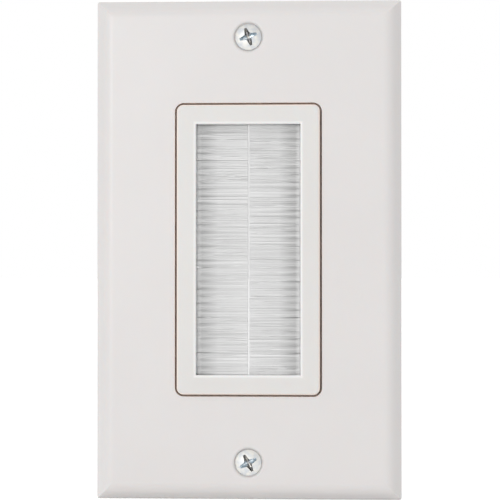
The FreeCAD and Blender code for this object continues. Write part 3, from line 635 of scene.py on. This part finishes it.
def rolled_thread(form, start, end):
    """A screw thread about the y axis, cut off square at both ends and pointed a little."""
    part = bmesh.new()
    turns = int((end - start) / thread_pitch) + thread_spare_turns
    rings = []
    for turn in range(turns):
        for share, raised in thread_section:
            ring = []
            for side in range(thread_sides):
                level = turn - thread_spare_turns / 2 + share + side / thread_sides
                depth = start + level * thread_pitch
                point = thread_point_slope * max(0, depth - end + thread_point)
                reach = min(shank_radius - thread_height * (1 - raised), shank_radius - point)
                angle = 2 * math.pi * side / thread_sides
                ring.append(part.verts.new((reach * math.cos(angle), depth, reach * math.sin(angle))))
            rings.append(ring)
    lift = len(thread_section)
    for index in range(len(rings) - lift - 1):
        for side in range(thread_sides):
            if side < thread_sides - 1:
                far = (rings[index][side + 1], rings[index + 1][side + 1])
            else:
                far = (rings[index + lift][0], rings[index + lift + 1][0])
            part.faces.new((rings[index][side], far[0], far[1], rings[index + 1][side]))
    for depth, normal in ((start, (0, -1, 0)), (end, (0, 1, 0))):
        bmesh.ops.bisect_plane(part, geom=part.verts[:] + part.edges[:] + part.faces[:],
                               plane_co=(0, depth, 0), plane_no=normal, clear_outer=True)
    bmesh.ops.holes_fill(part, edges=[edge for edge in part.edges if edge.is_boundary], sides=0)
    bmesh.ops.recalc_face_normals(part, faces=part.faces[:])
    thread = bpy.data.meshes.new("thread")
    part.to_mesh(thread)
    part.free()
    form.from_mesh(thread)
    bpy.data.meshes.remove(thread)


def solid_mesh(form, name, material):
    """A mesh of a closed form, with its faces turned outward."""
    bmesh.ops.recalc_face_normals(form, faces=form.faces[:])
    mesh = bpy.data.meshes.new(name)
    form.to_mesh(mesh)
    form.free()
    mesh.materials.append(material)
    return mesh


def cut_away(solid, tool):
    """The solid mesh less the tool mesh. The tool's faces keep their own finish."""
    made = []
    for mesh in (solid, tool):
        piece = bpy.data.objects.new(mesh.name, mesh)
        bpy.context.scene.collection.objects.link(piece)
        made.append(piece)
    cut = made[0].modifiers.new("cut", "BOOLEAN")
    cut.object = made[1]
    cut.operation = "DIFFERENCE"
    cut.solver = "EXACT"
    cut.material_mode = "TRANSFER"
    shown = made[0].evaluated_get(bpy.context.evaluated_depsgraph_get())
    result = bpy.data.meshes.new_from_object(shown)
    for piece in made:
        bpy.data.objects.remove(piece)
    return result


def oval_head(name, radius, cone_end):
    """A domed head with a short straight edge and a cone down to the thread."""
    dome_radius = (radius ** 2 + head_dome ** 2) / (2 * head_dome)
    crown = math.asin(radius / dome_radius)
    profile = []
    for ring in range(dome_rings + 1):
        angle = crown * ring / dome_rings
        fall = dome_radius * (1 - math.cos(angle))
        profile.append((dome_radius * math.sin(angle), crown_level + fall))
    tail = cone_end + cone_tail
    profile += [(radius, head_edge), (shank_radius - cone_tail_step, tail), (0, tail)]
    form = bmesh.new()
    turned_shell(form, profile, head_sides)
    return solid_mesh(form, name, screw_zinc)


def cross_recess(name):
    """What the punch takes out of the head: four tapered arms that meet in rounded corners."""
    form = bmesh.new()
    levels = []
    for depth, scale in recess_scales:
        level = []
        for quarter in range(4):
            for along, aside in recess_arm:
                across, up = (recess_reach * scale * share for share in (along, aside))
                for _ in range(quarter):
                    across, up = -up, across
                level.append(form.verts.new((across, crown_level + depth, up)))
        levels.append(level)
    for upper, lower in zip(levels, levels[1:]):
        for index, corner in enumerate(upper):
            beside = (index + 1) % len(upper)
            wall = form.faces.new((corner, upper[beside], lower[beside], lower[index]))
            middle = corner.co + upper[beside].co
            # The sideways arms take the painted reflection, the others the painted shade.
            wall.material_index = int(abs(middle.x) > abs(middle.z))
    form.faces.new(levels[0][::-1])
    form.faces.new(levels[-1])
    recess = solid_mesh(form, name, recess_painted_shade)
    recess.materials.append(arm_painted_reflection)
    return recess


def finished_screw(name, head, start, turn, node):
    """Join a head and its thread, turn the screw about its axis and put it in place."""
    screw_low, screw_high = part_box(node)
    form = bmesh.new()
    form.from_mesh(head)
    rolled_thread(form, start, screw_high.y)
    mesh = bpy.data.meshes.new(name)
    form.to_mesh(mesh)
    form.free()
    for material in head.materials:
        mesh.materials.append(material)
    place = Matrix.Translation((0, 0, (screw_low.z + screw_high.z) / 2))
    mesh.transform(place @ Matrix.Rotation(-turn, 4, "Y"))
    mesh.shade_smooth()
    mesh.set_sharp_from_angle(angle=sharp_edge)
    screw = bpy.data.objects.new(name, mesh)
    bpy.context.scene.collection.objects.link(screw)
    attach(screw, "root")
    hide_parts(node)


for end, turn in (("upper", 19.5), ("lower", 27.5)):
    screw_low, screw_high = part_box(f"{end}_plate_screw")
    head_radius = (screw_high.x - screw_low.x) / 2 - head_play
    cone_end = head_edge + (head_radius - shank_radius) / math.tan(cone_slope)
    head = cut_away(oval_head(f"{end}_screw_head", head_radius, cone_end), cross_recess(f"{end}_recess"))
    finished_screw(f"{end}_oval_screw", head, cone_end - thread_overlap, math.radians(turn),
                   f"{end}_plate_screw")

# Box screws. Longer screws of the same thread that hold the strap to the wall box. Their cheese
# heads are slotted, and a bare neck under the head lets the fibre washer hold them captive.
seat = -1.63 * MM
soft_edge = 0.25 * MM
edge_middle = 0.3 * soft_edge
neck_radius = 1.5 * MM
neck_end = 0.1 * MM
slot_depth = 0.9 * MM
slot_width = 0.9 * MM
slot_length = 8 * MM
slot_turn = math.radians(12)
for end in ("upper", "lower"):
    screw_low, screw_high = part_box(f"{end}_box_screw")
    head_radius = (screw_high.x - screw_low.x) / 2
    head_top = screw_low.y
    profile = [(0, head_top), (head_radius - soft_edge, head_top),
               (head_radius - edge_middle, head_top + edge_middle),
               (head_radius, head_top + soft_edge), (head_radius, seat), (neck_radius, seat),
               (neck_radius, neck_end), (0, neck_end)]
    form = bmesh.new()
    turned_shell(form, profile, head_sides)
    head = solid_mesh(form, f"{end}_cheese_head", screw_zinc)
    form = bmesh.new()
    bmesh.ops.create_cube(form, size=1, matrix=Matrix.Translation((0, head_top, 0))
                          @ Matrix.Diagonal((slot_length, 2 * slot_depth, slot_width, 1)))
    # The driver slot takes the recess's painted shade.
    head = cut_away(head, solid_mesh(form, f"{end}_driver_slot", recess_painted_shade))
    finished_screw(f"{end}_captive_screw", head, neck_end - thread_overlap, slot_turn, f"{end}_box_screw")

# Floor and light. A wide pale floor under the plate's lower edge, an even white room, and one
# large soft lamp in front, to the left and a little above.
floor_level = cad_box[0][2]
floor_reach = 6.0
floor_tone = 0.92
floor_glow = 0.55
room_strength = 0.70
background_strength = 1.0
floor_mesh = bpy.data.meshes.new("floor")
floor_corners = [(-floor_reach, -floor_reach), (floor_reach, -floor_reach),
                 (floor_reach, floor_reach), (-floor_reach, floor_reach)]
floor_mesh.from_pydata([(x, y, floor_level) for x, y in floor_corners], [], [(0, 1, 2, 3)])
floor = bpy.data.objects.new("floor", floor_mesh)
bpy.context.scene.collection.objects.link(floor)


def seen_directly(tree):
    """1 for a ray of the camera, of a mirror or through glass, else 0."""
    ray = tree.nodes.new("ShaderNodeLightPath").outputs
    seen = worked_out(tree, "MAXIMUM", ray["Is Camera Ray"], ray["Is Glossy Ray"])
    return worked_out(tree, "MAXIMUM", seen, ray["Is Transmission Ray"])


floor_paint = new_material("floor_paint")
floor_tree = floor_paint.node_tree
floor_surface = floor_tree.nodes["Principled BSDF"]
floor_surface.inputs["Base Color"].default_value = (floor_tone, floor_tone, floor_tone, 1)
floor_surface.inputs["Roughness"].default_value = 1.0
floor_surface.inputs["Specular IOR Level"].default_value = 0.0
floor_surface.inputs["Emission Color"].default_value = (1, 1, 1, 1)
glow = worked_out(floor_tree, "MULTIPLY", seen_directly(floor_tree), floor_glow)
floor_tree.links.new(glow, floor_surface.inputs["Emission Strength"])
floor_mesh.materials.append(floor_paint)

room = bpy.data.worlds.new("room")
room.use_nodes = True
bpy.context.scene.world = room
room_tree = room.node_tree
room_light = room_tree.nodes["Background"]
room_light.inputs["Color"].default_value = (1, 1, 1, 1)
strength = between(room_tree, seen_directly(room_tree), low=room_strength, high=background_strength,
                   start=0.0, end=1.0)
room_tree.links.new(strength, room_light.inputs["Strength"])

lamp_distance = 2.6
lamp_turn = math.radians(-22)
lamp_rise = math.radians(8)
lamp_data = bpy.data.lights.new("soft_lamp", "AREA")
lamp_data.shape = "SQUARE"
lamp_data.size = 1.3
lamp_data.energy = 22.6
lamp = bpy.data.objects.new("soft_lamp", lamp_data)
bpy.context.scene.collection.objects.link(lamp)
toward_lamp = direction(lamp_turn, lamp_rise)
lamp.location = lamp_distance * toward_lamp
lamp.rotation_euler = (-toward_lamp).to_track_quat("-Z", "Y").to_euler()

bpy.context.scene.view_settings.view_transform = "Standard"
